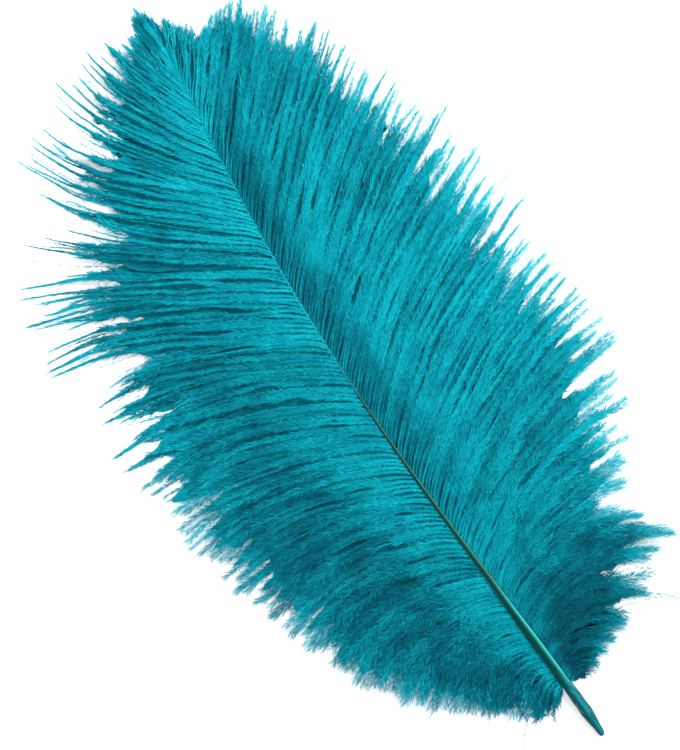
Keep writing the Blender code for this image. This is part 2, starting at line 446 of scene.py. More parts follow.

# How the shade changes with the piece: stems; barbules, with painted light where they are raised and painted
# shade in the under layer, in gaps and towards their far ends; and slivers and strips of down.
STEM_PALER, STEM_TIP_DEEPER, STEM_TIP_RISE = 0.09, 0.17, (0.6, 0.9)
GRAIN = 0.085
RAISED_PAINTED_LIGHT, RAISED_FULLY = 0.10, 0.9 * MM
EDGE_RISE = (0.8, 1.0)
PAINTED_SHADE_BY_SIDE = {+1: 0.85, -1: 0.6}
UNDER_PAINTED_SHADE, GAP_PAINTED_SHADE, WISP_PALER = 0.14, 0.16, 0.06
ALONG_BARBULE_PAINTED_SHADE = np.array((0.02, 0.0, -0.12, 0.0))
BENEATH_BROAD, BENEATH_EDGE_PALER = 0.6, 0.2
DOWN_PAINTED_SHADE, DOWN_GRAIN = {+1: 0.28, -1: 0.34}, 0.07
WEB_PAINTED_SHADE, WEB_GRAIN = {+1: 0.29, -1: 0.35}, 0.03
WEB_PALER_RISE = (0.6, 0.95)

# Broad areas that look paler, above 0, or deeper, below 0: by how much, the shares of the quill's length
# over which the area sets in and fades, the same along the barbs, and the distances from the quill in mm
# over which it fades. None stands for no limit. Some are painted shade and painted light, as marked.
PALE_TIPS = (0.14, None, None, (0.70, 1.00), None, None)
RIGHT_AREAS = (
    PALE_TIPS,
    (-0.07, (0.66, 0.80), (0.86, 0.94), None, None, None),
    (-0.02, None, (0.30, 0.45), None, None, None),
    (-0.088, None, (0.12, 0.30), (0.05, 0.30), None, None),
    (-0.132, None, (0.12, 0.30), (0.05, 0.30), (0.60, 0.95), None),
    # Painted shade: a deep band beside the right of the quill.
    (-0.22, (0.28, 0.42), (0.78, 0.90), None, None, (8, 24)),
    (-0.10, None, (0.15, 0.24), None, None, None),
    # Painted shade beside the lower part of the quill.
    (-0.10, None, (0.18, 0.28), None, None, (6, 18)),
    # Painted shade: dark hollows near the quill's end.
    (-0.16, None, (0.11, 0.17), (0.10, 0.25), (0.50, 0.80), None),
    (-0.04, (0.50, 0.60), (0.70, 0.80), (0.40, 0.80), None, None),
)
LEFT_AREAS = (
    PALE_TIPS,
    (0.09, (0.62, 0.80), None, None, None, None),
    (-0.05, None, None, None, None, None),
    (-0.23, None, (0.20, 0.52), (0.15, 0.45), None, None),
    (-0.10, (0.25, 0.40), None, (0.25, 0.50), None, None),
    # Painted light: a paler strip beside the left of the quill.
    (0.03, (0.20, 0.40), None, None, None, (5, 20)),
)
AREAS = {+1: RIGHT_AREAS, -1: LEFT_AREAS}

ZONES = ("base", "lower", "upper", "tip")


def smooth(low, high, value):
    """0 below low, 1 above high, and an even S between them."""
    t = np.clip((value - low) / (high - low), 0, 1)
    return t * t * (3 - 2 * t)


def window(rise, fall, value):
    """0, then 1 from a rise to a fall, and 0 again. Each is the two values it runs between, or None."""
    risen = 1.0 if rise is None else smooth(*rise, value)
    fallen = 0.0 if fall is None else smooth(*fall, value)
    return risen * (1 - fallen)


def unit(vectors):
    """Each vector scaled to length 1."""
    return vectors / np.maximum(np.linalg.norm(vectors, axis=-1, keepdims=True), 1e-12)


def columns(table, share):
    """A table's columns after the first, each read between its rows at every share."""
    stations, *rest = np.array(table, float).T
    return [np.interp(share, stations, column) for column in rest]


def quill_point(share):
    """The quill's centre at a share of its length: it bows to the left and arches off the floor."""
    share = np.asarray(share, float)
    inside = np.clip(share, 0, 1)
    x = -QUILL_BOW * np.sin(np.pi * inside**QUILL_BOW_SKEW)
    z = QUILL_REST_HEIGHT + QUILL_ARCH * np.sin(np.pi * inside**QUILL_ARCH_SKEW)
    return np.stack([x - BOX_MIDDLE[0], QUILL_LENGTH * share - BOX_MIDDLE[1], z], axis=-1)


def quill_heading(share):
    """The quill's direction in plan, as an angle from +Y towards +X."""
    near = 0.001
    step = quill_point(share + near) - quill_point(share - near)
    return np.arctan2(step[..., 0], step[..., 1])


def to_the_right(heading):
    """Level unit vectors a quarter turn to the right of each heading."""
    return np.stack([np.cos(heading), -np.sin(heading), np.zeros_like(heading)], axis=-1)


def groups(count, mean, rng):
    """Group numbers for a row of things: neighbours share one, in runs of about the mean length."""
    sizes = np.maximum(1, rng.normal(mean, mean * GROUP_VARIES, count).round().astype(int))
    return np.repeat(np.arange(count), sizes)[:count]


def group_mean(values, group):
    """Each row replaced by the mean of the rows in its group."""
    total = np.zeros((group.max() + 1,) + values.shape[1:])
    np.add.at(total, group, values)
    number = np.bincount(group, minlength=group.max() + 1)
    shape = (-1,) + (1,) * (values.ndim - 1)
    return (total / np.maximum(number, 1).reshape(shape))[group]


def crowded(even):
    """Shares of the quill's length for even steps from 0 to 1, closer together near the quill's end."""
    fine = np.linspace(VANE_START, VANE_END, 400)
    density = 1 + BASE_CROWDING * window(None, CROWDING_FALL, fine)
    total = np.cumsum(density)
    return np.interp(even, (total - total[0]) / (total[-1] - total[0]), fine)


def lay_out(side, rng):
    """Every barb of a vane: its share, its layer, its lock, its pair, its length, its habits and if it is
    a stray. The vane's own barbs come in order along the quill, and the wisps after them."""
    shares, layers = [], []
    for layer, count in enumerate(LAYER_COUNTS):
        even = (np.arange(count) + 0.5 + rng.uniform(-UNEVEN, UNEVEN, count)) / count
        shares.append(crowded(even))
        layers.append(np.full(count, layer))
    share, layer = np.concatenate(shares), np.concatenate(layers)
    order = np.argsort(share)
    share, layer = share[order], layer[order]
    upper = groups(LAYER_COUNTS[TOP], BARBS_A_LOCK, rng)
    edges = np.sort(shares[TOP])[np.flatnonzero(np.diff(upper, prepend=-1))]
    lock = np.clip(np.searchsorted(edges, share, side="right") - 1, 0, None)
    pair = groups(len(share), BARBS_A_PAIR, rng)
    stray = (rng.uniform(0, 1, len(share)) < STRAY_SHARE) & (layer == TOP)

    # Each wisp is a lock and a pair by itself, so that nothing draws it in.
    own_shares, own_lengths = [], []
    for low, high, count, least, most in WISPS[side]:
        own_shares.append(rng.uniform(low, high, count))
        own_lengths.append(rng.uniform(least, most, count))
    own = np.concatenate(own_shares)
    alone = np.arange(len(own))
    n = len(share)
    share = np.concatenate([share, own])
    start, end, length = columns(VANES[side], share)
    gather, hold, pair_hold, bare, angle_varies, shorter, tip_turn = columns(HABITS[side], share)
    lock = np.concatenate([lock, lock.max() + 1 + alone])
    hold = hold * rng.uniform(*HOLD_VARIES, lock.max() + 1)[lock]
    length = length * (1 + LOCKS_SHORTER * shorter * rng.uniform(-0.5, 0.5, lock.max() + 1)[lock])
    length[n:] = np.concatenate(own_lengths)

    # The named locks take over the barbs that grow in their stretches.
    even_edge = length * MM
    fluff = np.where(share < FLUFFY_UP_TO[side], FLUFFY, SLIM)
    for middle, half, reach, lock_hold, lock_gather, lock_fluff in LOCKS[side]:
        members = np.flatnonzero(np.abs(share[:n] - middle) < half)
        lock[members] = lock.max() + 1
        fluff[members] = lock_fluff
        length[members], hold[members], gather[members] = reach, lock_hold, lock_gather
        angle_varies[members] = NAMED_LOCK_ANGLE_VARIES
        shorter[members] = np.clip(1.0 - even_edge[members] / (reach * MM), *NAMED_LOCK_SHORTER)
    stray = np.concatenate([stray, np.zeros(len(own), bool)])
    return {
        "side": side,
        "share": share,
        "layer": np.concatenate([layer, np.full(len(own), WISP)]),
        "lock": lock,
        "pair": np.concatenate([pair, pair.max() + 1 + alone]),
        "stray": stray,
        "start": start,
        "end": end,
        "length": length * MM,
        "even_edge": even_edge,
        "fluff": fluff,
        "gather": gather,
        "hold": np.clip(hold, 0, 1) * ~stray,
        "pair_hold": pair_hold,
        "bare": bare,
        "angle_varies": angle_varies,
        "shorter": shorter,
        "tip_turn": tip_turn,
        "partings": all_partings(side, rng),
    }


def all_partings(side, rng):
    """The vane's partings: the named ones, and small ones spread evenly over it."""
    n = SMALL_PARTINGS
    opens = rng.uniform(*PARTING_OPENS, n)
    small = np.stack([
        VANE_START + (VANE_END - VANE_START) * (np.arange(n) + rng.uniform(0, 1, n)) / n,
        opens,
        opens + rng.uniform(*PARTING_RUN, n),
        rng.uniform(*PARTING_WIDTHS[side], n),
    ], axis=1)
    return np.concatenate([np.array(PARTINGS[side], float), small])


def parting_nearness(partings, share, u):
    """For each parting: how open it is at u, how far each share is from it, and its width."""
    low, high = share.min() - 3 * PARTING_REACH, share.max() + 3 * PARTING_REACH
    for middle, opens, closes, width in partings[(partings[:, 0] > low) & (partings[:, 0] < high)]:
        rim = PARTING_RIM * (closes - opens)
        openness = window((opens, opens + rim), (closes - rim, closes), u)
        yield openness, share - middle, width * MM


def parted(barbs, u, heading):
    """How far barbs move aside, in plan, where neighbours have parted: away from the gap, and less the
    further from it they grow."""
    turned = np.concatenate([heading, heading[:, -1:]], axis=1)
    aside = np.stack([-np.cos(turned), np.sin(turned)], axis=-1) * barbs["side"]
    moved = np.zeros(turned.shape)
    for openness, apart, width in parting_nearness(barbs["partings"], barbs["share"][:, None], u):
        moved = moved + np.sign(apart) * np.exp(-np.abs(apart) / PARTING_REACH) * openness * width / 2
    return moved[..., None] * aside


def barb_paths(barbs, rng):
    """The centrelines of a vane's barbs. Each leaves the quill at one angle and turns evenly to another;
    barbs of one lock share a change of length, angle and height, and draw together towards their tips."""
    side, share, layer, lock = barbs["side"], barbs["share"], barbs["layer"], barbs["lock"]
    n, locks = len(share), lock.max() + 1
    length = barbs["length"]
    stray = barbs["stray"] * rng.choice((-1, 1), n) * rng.uniform(*STRAY_TURN, n)
    start = barbs["start"] + rng.normal(0, START_VARIES, n) + stray
    end = barbs["end"] + barbs["angle_varies"] * rng.normal(0, 1, locks)[lock]
    end = end + rng.normal(0, END_VARIES, n) + stray

    # In degrees from the quill's direction, a barb starts about half as steep, and waves as its lock does
    # and a little by itself.
    middle = (STATIONS[1:] + STATIONS[:-1]) / 2
    turn = start[:, None] + (end - start)[:, None] * middle
    turn = turn + barbs["tip_turn"][:, None] * smooth(TIP_TURNS_FROM, 1, middle)
    turn = turn * (1 - ROOT_LEAN * np.exp(-middle * length[:, None] / ROOT_LEAN_REACH))
    lock_begins = rng.uniform(0, 2 * np.pi, (locks, 2))[lock]
    own_begins = rng.uniform(0, 2 * np.pi, (n, 2))
    for waves, begins in ((LOCK_WAVES, lock_begins), (OWN_WAVES, own_begins)):
        for number, (size, radians) in enumerate(waves):
            turn = turn + size * np.sin(radians * middle + begins[:, number, None])
    heading = quill_heading(share)[:, None] + side * np.radians(turn)
    steps = np.stack([np.sin(heading), np.cos(heading)], axis=-1)
    steps = steps * (length[:, None] * np.diff(STATIONS))[..., None]
    radius = columns(QUILL_PROFILE, share)[0] * MM
    covered = smooth(*COVERED_RISE, share)
    beside = side * (ROOT_BESIDE - ROOT_DRAWN_IN * covered) * radius
    root = quill_point(share) + to_the_right(quill_heading(share)) * beside[:, None]
    plan = root[:, None, :2] + np.concatenate([np.zeros((n, 1, 2)), np.cumsum(steps, axis=1)], axis=1)

    # Locks draw together towards their tips, and pairs within a lock more so.
    together = smooth(barbs["gather"][:, None], TOGETHER_BY, STATIONS)[:, :, None]
    plan = plan + (group_mean(plan, lock) - plan) * together * barbs["hold"][:, None, None]
    plan = plan + (group_mean(plan, barbs["pair"]) - plan) * together * barbs["pair_hold"][:, None, None]
    plan = plan + parted(barbs, STATIONS, heading)

    # A barb may end before its lock does.
    kept = np.where(layer == WISP, 1.0, 1 - barbs["shorter"] * rng.uniform(0, 1, n) ** SHORTER_SKEW)
    kept = kept * np.where(layer == UNDER, UNDER_KEPT[side], 1.0)
    barb = np.repeat(np.arange(n), len(STATIONS))
    plan = along_path(plan, barb, (kept[:, None] * STATIONS).ravel())[0].reshape(plan.shape)
    length = length * kept

    tip = (rng.uniform(*TIP_HEIGHT, locks)[lock] + rng.uniform(-HEIGHT_VARIES, HEIGHT_VARIES, n)) * MM
    crown = (rng.uniform(*CROWN_HEIGHT, locks)[lock] + rng.uniform(-HEIGHT_VARIES, HEIGHT_VARIES, n)) * MM
    crown = crown + (LAYER_CROWNS[layer] + barbs["stray"] * STRAY_LIFT) * MM
    top = root[:, 2] + (ROOT_CLIMB * covered - ROOT_SINK) * radius + LAYER_ROOTS[layer] * MM
    height = (
        top[:, None] * (1 - STATIONS) ** ROOT_HEIGHT_FALL
        + tip[:, None] * STATIONS
        + crown[:, None] * np.sin(np.pi * STATIONS)
    )
    return np.concatenate([plan, np.maximum(height, LEAST_BARB_HEIGHT)[..., None]], axis=-1), length


def along_path(path, barb, u):
    """The place and the direction at share u along the given barbs' centrelines."""
    k = np.clip(np.searchsorted(STATIONS, u, side="right") - 1, 0, len(STATIONS) - 2)
    f = ((u - STATIONS[k]) / (STATIONS[k + 1] - STATIONS[k]))[:, None]
    first, second = path[barb, k], path[barb, k + 1]
    return first + (second - first) * f, unit(second - first)


def skin(rings):
    """Triangles over tubes given as rings of points, of shape (tubes, rings, sides, 3), with both ends
    closed. Returns the points, the triangles, and for each triangle's corners the ring and the side."""
    n, m, k = rings.shape[:3]
    index = np.arange(n * m * k).reshape(n, m, k)
    ring = np.broadcast_to(np.arange(m)[:, None], (m, k))
    corner = np.broadcast_to(np.arange(k), (m, k))
    a, b = index[:, :-1], index[:, 1:]
    a2, b2 = np.roll(a, -1, axis=2), np.roll(b, -1, axis=2)
    walls = np.stack([np.stack([a, b, a2], -1), np.stack([a2, b, b2], -1)], axis=-2).reshape(-1, 3)
    r, s = ring[:-1], corner[:-1]
    wall_rings = np.stack([np.stack([r, r + 1, r], -1), np.stack([r, r + 1, r + 1], -1)], axis=-2)
    wall_sides = np.stack([np.stack([s, s, s + 1], -1), np.stack([s + 1, s, s + 1], -1)], axis=-2)
    fan = np.stack([np.zeros(k - 2, int), np.arange(1, k - 1), np.arange(2, k)], -1)
    near, far = index[:, 0][:, fan].reshape(-1, 3), index[:, -1][:, fan[:, ::-1]].reshape(-1, 3)
    faces = np.concatenate([walls, near, far])
    ring_of = np.concatenate([
        np.tile(wall_rings.reshape(-1, 3), (n, 1)), np.zeros_like(near), np.full_like(far, m - 1),
    ])
    side_of = np.concatenate([
        np.tile(wall_sides.reshape(-1, 3), (n, 1)), np.tile(fan, (n, 1)), np.tile(fan[:, ::-1], (n, 1)),
    ])
    return rings.reshape(-1, 3), faces, ring_of, side_of


def stems(path, thickness):
    """The barbs' own stems: three-sided tubes that taper to a fine point."""
    tangent = unit(np.gradient(path, axis=1))
    across = unit(np.cross(tangent, UP))
    lift = np.cross(across, tangent)
    radius = (STEM_TAPERS * (1 - STATIONS) ** STEM_TAPER + STEM_STAYS) * MM * thickness[:, None]
    ring = across[:, :, None] * np.cos(STEM_CORNERS)[:, None]
    ring = ring + lift[:, :, None] * np.sin(STEM_CORNERS)[:, None]
    return path[:, :, None, :] + ring * radius[:, :, None, None]


def barbule_angles(side, share, u, downy, sleek, rng):
    """The barbules' angles to their barb, in radians: less the further up the barb, more and less even in
    the down near the quill's end, and less where a lock holds closely."""
    spray = SPRAY - SPRAY_LESS * smooth(*SPRAY_RISE, u) + SPRAY_DOWNY * downy
    spray = spray + rng.normal(0, SPRAY_VARIES + SPRAY_VARIES_DOWNY * downy, len(u))
    spray = spray * (1 - LEFT_SPRAY_NARROWER * smooth(*LEFT_SPRAY_RISE, share) * (side < 0))
    return np.radians(spray * (1 - SLEEK_NARROWER * sleek))


def barbule_lengths(barbs, barb, u, distance, out_to_edge, downy, rng):
    """The barbules' lengths: short near the quill, then full, and less full towards the barb's end and on
    wisps."""
    side, share = barbs["side"], barbs["share"][barb]
    thin = ROOT_FULLNESS + ROOT_FULLNESS_ADDS[side] * smooth(*ROOT_FULLNESS_RISE[side], share)
    fullness = thin + (1 - thin) * smooth(*FULL_AT, distance)
    narrows = smooth(NARROWS_FROM, 1.0, u)
    fullness = fullness * (1 - (1 - barbs["fluff"][barb]) * (1 - DOWNY_KEEPS * downy) * narrows)
    fullness = fullness * (1 - THIN_TIP_SHORTER * tip_thinness(side, share))
    size = BARBULE_LENGTH * fullness * rng.uniform(*BARBULE_LENGTH_VARIES, len(u))
    size = size * (1 + DOWNY_LONGER * downy)
    past = smooth(*INSIDE_FULLNESS_RISE, out_to_edge)
    size = size * (INSIDE_FULLNESS + (1 - INSIDE_FULLNESS) * past)
    return size * np.where(barbs["layer"][barb] == WISP, WISP_FULLNESS, 1.0)


def barbule_shades(barbs, barb, u, distance, out_to_edge, raised, gap, rng):
    """The shade at each barbule's four points: painted light where it is raised, painted shade in the under
    layer, in gaps and towards its far end, and like its barb and its area besides."""
    side, share, layer = barbs["side"], barbs["share"][barb], barbs["layer"][barb]
    shade = own_shade(barbs, barb, u) + broad_shade(side, share, u, distance)
    # Painted light on raised barbules.
    shade = shade + rng.normal(0, GRAIN, len(u)) + RAISED_PAINTED_LIGHT * raised
    inside = 1 - smooth(*EDGE_RISE, out_to_edge)
    # Painted shade in the under layer and in gaps, less near the vane's edge.
    shade = shade - PAINTED_SHADE_BY_SIDE[side] * (UNDER_PAINTED_SHADE * (layer == UNDER) * inside + GAP_PAINTED_SHADE * gap)
    shade = shade + WISP_PALER * (layer == WISP)
    # Painted shade towards each barbule's far end, in the valleys between barbs.
    return np.maximum(shade[:, None] + ALONG_BARBULE_PAINTED_SHADE * inside[:, None], DEEPEST)


def barbules(barbs, path, length, chosen, rng):
    """The fluff along the chosen barbs: kites of two triangles, pointed at both ends and bent in the
    middle, that leave the barb at an angle and curve forward along it.
    Returns points (n, 4, 3) and a shade for each point."""
    counts = (length[chosen] / BARBULE_SPACING[barbs["layer"][chosen]]).astype(int)
    barb = np.repeat(chosen, counts)
    order = np.arange(len(barb)) - np.repeat(np.cumsum(counts) - counts, counts)
    n = len(barb)
    u = (order + rng.uniform(0, 1, n)) / np.repeat(counts, counts)
    side, share, hold = barbs["side"], barbs["share"][barb], barbs["hold"][barb]
    u = u * (1 - barbs["bare"][barb] * rng.uniform(*BARE_VARIES, n))
    sleek = hold * smooth(barbs["gather"][barb], barbs["gather"][barb] + SLEEK_RUN, u)
    downy = 1 - smooth(*DOWNY_FALL, share)
    place, tangent = along_path(path, barb, u)
    across = unit(np.cross(tangent, UP))
    lift = np.cross(across, tangent)
    flank = np.where(order % 2 == 0, 1.0, -1.0)
    roll = np.radians(rng.uniform(*BARBULE_ROLL, n))
    lateral = across * (flank * np.cos(roll))[:, None] + lift * np.sin(roll)[:, None]
    spray = barbule_angles(side, share, u, downy, sleek, rng)
    distance = u * length[barb]
    out_to_edge = distance / barbs["even_edge"][barb]
    size = barbule_lengths(barbs, barb, u, distance, out_to_edge, downy, rng)
    gap = np.zeros(n)
    for openness, apart, width in parting_nearness(barbs["partings"], share, u):
        near = openness * (np.abs(apart) < GAP_REACH)
        size = size * (1 - GAP_SHORTER * near * (flank * side * np.sign(apart) > 0))
        gap = np.maximum(gap, near * np.minimum(width / MM, 1))

    # Each half of a barbule has its own direction, and its face looks upwards.
    out = tangent * np.cos(spray)[:, None] + lateral * np.sin(spray)[:, None]
    later = spray * rng.uniform(*BEND_KEEPS, n)
    stir = (BARBULE_STIR * (1 - SLEEK_STILL * sleek))[:, None]
    bend = tangent * np.cos(later)[:, None] + lateral * np.sin(later)[:, None]
    bend = unit(bend + rng.normal(0, 1, (n, 3)) * stir - UP * BARBULE_DROOP)
    middle = place + out * (size / 2)[:, None]
    end = middle + bend * (size / 2)[:, None]
    facing = unit(UP + rng.normal(0, BARBULE_FACES_VARY, (n, 3)))
    finer = EDGE_FINER * smooth(*EDGE_FINER_RISE, out_to_edge) * (1 - hold)
    fineness = rng.uniform(*BARBULE_WIDTH_VARIES, n) * (1 - finer)
    wide = unit(np.cross(out + bend, facing)) * (BARBULE_WIDTH * fineness / 2)[:, None]
    points = np.stack([place, middle + wide, end, middle - wide], axis=1)
    points[..., 2] = np.maximum(points[..., 2], LEAST_BARBULE_HEIGHT)
    raised = np.clip((points[:, 1, 2] - place[:, 2]) / RAISED_FULLY, -1, 1)
    return points, barbule_shades(barbs, barb, u, distance, out_to_edge, raised, gap, rng)


def down(barbs, path, length, chosen, rng):
    """The down under the chosen barbs: fine slivers of one triangle each, strewn on both sides of the
    under layer's barbs, from just above them to well below, painted deeper as the shade beneath the barbs.
    Returns points (n, 3, 3) and shades."""
    chosen = chosen[barbs["layer"][chosen] == UNDER]
    counts = (length[chosen] / DOWN_SPACING).astype(int)
    barb = np.repeat(chosen, counts)
    n = len(barb)
    side, share, even_edge = barbs["side"], barbs["share"][barb], barbs["even_edge"][barb]
    u = rng.uniform(0, DOWN_END, n) * np.minimum(even_edge / length[barb], 1)
    place, tangent = along_path(path, barb, u)
    across = unit(np.cross(tangent, UP))
    edge_near = smooth(*DOWN_EDGE_RISE, u * length[barb] / even_edge)
    spread = DOWN_SPREAD * (1 - DOWN_EDGE_CLOSER * edge_near) * (1 - tip_thinness(side, share))
    place = place + across * (rng.uniform(-1, 1, n) * spread)[:, None]
    place[:, 2] = place[:, 2] - rng.uniform(*DOWN_DEPTH, n) * MM
    turn = np.radians(rng.normal(0, DOWN_TURN, n))
    along = tangent * np.cos(turn)[:, None] + across * np.sin(turn)[:, None]
    size = DOWN_LENGTH * rng.uniform(*DOWN_LENGTH_VARIES, n) * (1 - DOWN_EDGE_SHORTER * edge_near)
    facing = unit(UP + rng.normal(0, DOWN_FACES_VARY, (n, 3)))
    half_width = DOWN_WIDTH * rng.uniform(*DOWN_WIDTH_VARIES, n) / 2
    wide = unit(np.cross(along, facing)) * half_width[:, None]
    end = place + along * size[:, None]
    points = np.stack([place + wide, end, place - wide], axis=1)
    points[..., 2] = np.maximum(points[..., 2], LEAST_DOWN_HEIGHT)
    # Painted shade: the down is deeper than the barbs above it, and paler towards the vane's edge.
    shade = DOWN_PAINTED_SHADE[side] + BENEATH_BROAD * broad_shade(side, share, u, u * length[barb])
    shade = shade + BENEATH_EDGE_PALER * edge_near + rng.normal(0, DOWN_GRAIN, n)
    return points, np.repeat(np.maximum(shade, DEEPEST)[:, None], 3, axis=1)


def web(barbs, path, length, chosen, rng):
    """Felted down along the chosen barbs of the under layer: flat strips just under them that narrow
    where a lock draws together and towards the tips, painted deeper as the shade beneath the barbs.
    Returns points, triangles and shades."""
    chosen = chosen[barbs["layer"][chosen] == UNDER]
    side, share = barbs["side"], barbs["share"][chosen, None]
    centre = path[chosen]
    across = unit(np.cross(np.gradient(centre, axis=1), UP))
    distance = STATIONS * length[chosen, None]
    out = distance / barbs["even_edge"][chosen, None]
    low = WEB_NARROWS_FROM[side] - WEB_NARROWS_SOONER[side] * smooth(*WEB_SOONER_RISE, share)
    low = low + rng.uniform(*WEB_RAGGED, (len(chosen), 1))
    width = WEB_WIDTH * (WEB_AT_ROOT + WEB_WIDENS * out)
    width = width * (1 - smooth(low, low + WEB_NARROWS_OVER, np.maximum(out, STATIONS))) + WEB_LEAST_WIDTH
    width = width * (1 - tip_thinness(side, share))
    uneven = rng.uniform(-WEB_UNEVEN, WEB_UNEVEN, width.shape)
    width = width * (1 + uneven * (1 + WEB_EDGE_UNEVEN * smooth(*WEB_UNEVEN_RISE, out)))
    points = centre[:, :, None] + across[:, :, None] * (width[..., None] / 2 * (1, -1))[..., None]
    points[..., 2] = np.maximum(points[..., 2] - WEB_DROP, LEAST_WEB_HEIGHT)
    index = np.arange(points[..., 0].size).reshape(points.shape[:3])
    a, b = index[:, :-1], index[:, 1:]
    faces = np.concatenate([
        np.stack([a[..., 0], b[..., 0], a[..., 1]], -1).reshape(-1, 3),
        np.stack([a[..., 1], b[..., 0], b[..., 1]], -1).reshape(-1, 3),
    ])
    # Painted shade: the strips are deeper than the barbs above them, and paler towards the vane's edge.
    shade = WEB_PAINTED_SHADE[side] + BENEATH_BROAD * broad_shade(side, share, STATIONS, distance)
    shade = shade + BENEATH_EDGE_PALER * smooth(*WEB_PALER_RISE, out)
    shade = np.maximum(shade + rng.normal(0, WEB_GRAIN, (len(chosen), 1)), DEEPEST)
    return points.reshape(-1, 3), faces, np.repeat(shade, 2, axis=1).ravel()


def tip_thinness(side, share):
    """How thin the vane is by share: the right one thins out beside the quill's tip."""
    return THIN_TIP * smooth(*THIN_TIP_RISE, share) * (side > 0)


def own_shade(barbs, barb, u):
    """How deep the dye looks on each barb, from 0 for the deepest to 1 for the palest: it differs from
    lock to lock, and drifts to and fro along each barb."""
    locks, n = barbs["lock"].max() + 1, len(barbs["share"])
    rng = np.random.default_rng(SHADE_SEED + barbs["side"])
    drift = rng.uniform(0, 2 * np.pi, n)[barb] + rng.uniform(*DRIFT_RADIANS, n)[barb] * u
    lock_shade = rng.normal(0, LOCK_SHADE_VARIES, locks)[barbs["lock"][barb]]
    return MIDDLE_SHADE + lock_shade + DRIFT * np.sin(drift)


def broad_shade(side, share, u, distance):
    """How much paler or deeper the vane looks over its broad areas, which fade into one another: some are
    painted shade beside the quill and near its end, and one is painted light beside its left.
    """
    shade = 0.0
    for amount, begins, ends, rises, falls, far in AREAS[side]:
        area = window(begins, ends, share) * window(rises, falls, u) * window(None, far, distance / MM)
        shade = shade + amount * area
    return shade


def in_scene(name, data):
    """A new object of this name and data, linked into the scene."""
    made = bpy.data.objects.new(name, data)
    bpy.context.scene.collection.objects.link(made)
    return made


def solid_mesh(name, points, faces, corner_uvs, shade, flat=0):
    """One mesh object from arrays of points, triangles, a UV for each triangle's corners and a shade for
    each point. It is smoothly shaded but for this many triangles, the last ones."""
    mesh = bpy.data.meshes.new(name)
    mesh.vertices.add(len(points))
    mesh.vertices.foreach_set("co", points.astype(np.float32).ravel())
    mesh.loops.add(faces.size)
    mesh.loops.foreach_set("vertex_index", faces.astype(np.int32).ravel())
    mesh.polygons.add(len(faces))
    mesh.polygons.foreach_set("loop_start", np.arange(0, faces.size, 3, dtype=np.int32))
    mesh.polygons.foreach_set("use_smooth", np.arange(len(faces)) < len(faces) - flat)
    mesh.update(calc_edges=True)
    layer = mesh.uv_layers.new(name="OFBake")
    layer.uv.foreach_set("vector", corner_uvs.astype(np.float32).ravel())
    attribute = mesh.attributes.new("shade", "FLOAT", "POINT")
    attribute.data.foreach_set("value", shade.astype(np.float32))
    return in_scene(name, mesh)


def make_vane(side):
    """One vane as four pieces, from the quill's end to its tip. Their UV maps run from deep to pale
    across, and at random upwards."""
    rng = np.random.default_rng(VANE_SEED + side)
    barbs = lay_out(side, rng)
    path, length = barb_paths(barbs, rng)
    layer, share = barbs["layer"], barbs["share"]
    thickness = np.where(layer == WISP, WISP_THICKNESS, 1.0)
    limits = crowded(np.linspace(0, 1, len(ZONES) + 1))
    pieces = []
    for zone, name in enumerate(ZONES):
        low, high = limits[zone], limits[zone + 1] + 1e-9
        chosen = np.flatnonzero((share >= low) & (share < high))
        stem_points, stem_faces, _, _ = skin(stems(path[chosen], thickness[chosen]))
        stem_u = np.tile(np.repeat(STATIONS, len(STEM_CORNERS)), len(chosen))
        stem_barb = np.repeat(chosen, len(STATIONS) * len(STEM_CORNERS))
        stem_shade = own_shade(barbs, stem_barb, stem_u) + STEM_PALER
        stem_shade = stem_shade - STEM_TIP_DEEPER * smooth(*STEM_TIP_RISE, stem_u)
        stem_shade = stem_shade + broad_shade(side, share[stem_barb], stem_u, stem_u * length[stem_barb])
        kites, kite_shade = barbules(barbs, path, length, chosen, rng)
        slivers, sliver_shade = down(barbs, path, length, chosen, rng)
        web_points, web_faces, web_shade = web(barbs, path, length, chosen, rng)
        first_kite = len(stem_points)
        first_sliver = first_kite + kites.shape[0] * 4
        first_web = first_sliver + slivers.shape[0] * 3
        corner = first_kite + np.arange(len(kites))[:, None] * 4
        points = np.concatenate([stem_points, kites.reshape(-1, 3), slivers.reshape(-1, 3), web_points])
        faces = np.concatenate([
            stem_faces,
            corner + (0, 1, 3),
            corner + (1, 2, 3),
            first_sliver + np.arange(len(slivers) * 3).reshape(-1, 3),
            first_web + web_faces,
        ])
        shade = np.concatenate([stem_shade, kite_shade.ravel(), sliver_shade.ravel(), web_shade])
        v = rng.uniform(0, 1, len(points))
        uvs = np.stack([np.clip(shade, 0, 1), v], axis=1)[faces]
        piece_name = f"{SIDE_NAMES[side]}_vane_{name}"
        pieces.append(solid_mesh(piece_name, points, faces, uvs, shade, flat=len(web_faces)))
    return pieces


def new_material(name):
    """A new material, its nodes, their links and its shader."""
    made = bpy.data.materials.new(name)
    made.use_nodes = True
    nodes = made.node_tree.nodes
    return made, nodes, made.node_tree.links, nodes["Principled BSDF"]


def set_inputs(node, values):
    """Sets a node's inputs by their names."""
    for name, value in values.items():
        node.inputs[name].default_value = value


def ramp(nodes, stops):
    """A colour ramp node with these (place, colour) stops."""
    made = nodes.new("ShaderNodeValToRGB")
    while len(made.color_ramp.elements) < len(stops):
        made.color_ramp.elements.new(1.0)
    for element, (place, colour) in zip(made.color_ramp.elements, stops):
        element.position = place
        element.color = (*colour, 1.0)
    return made


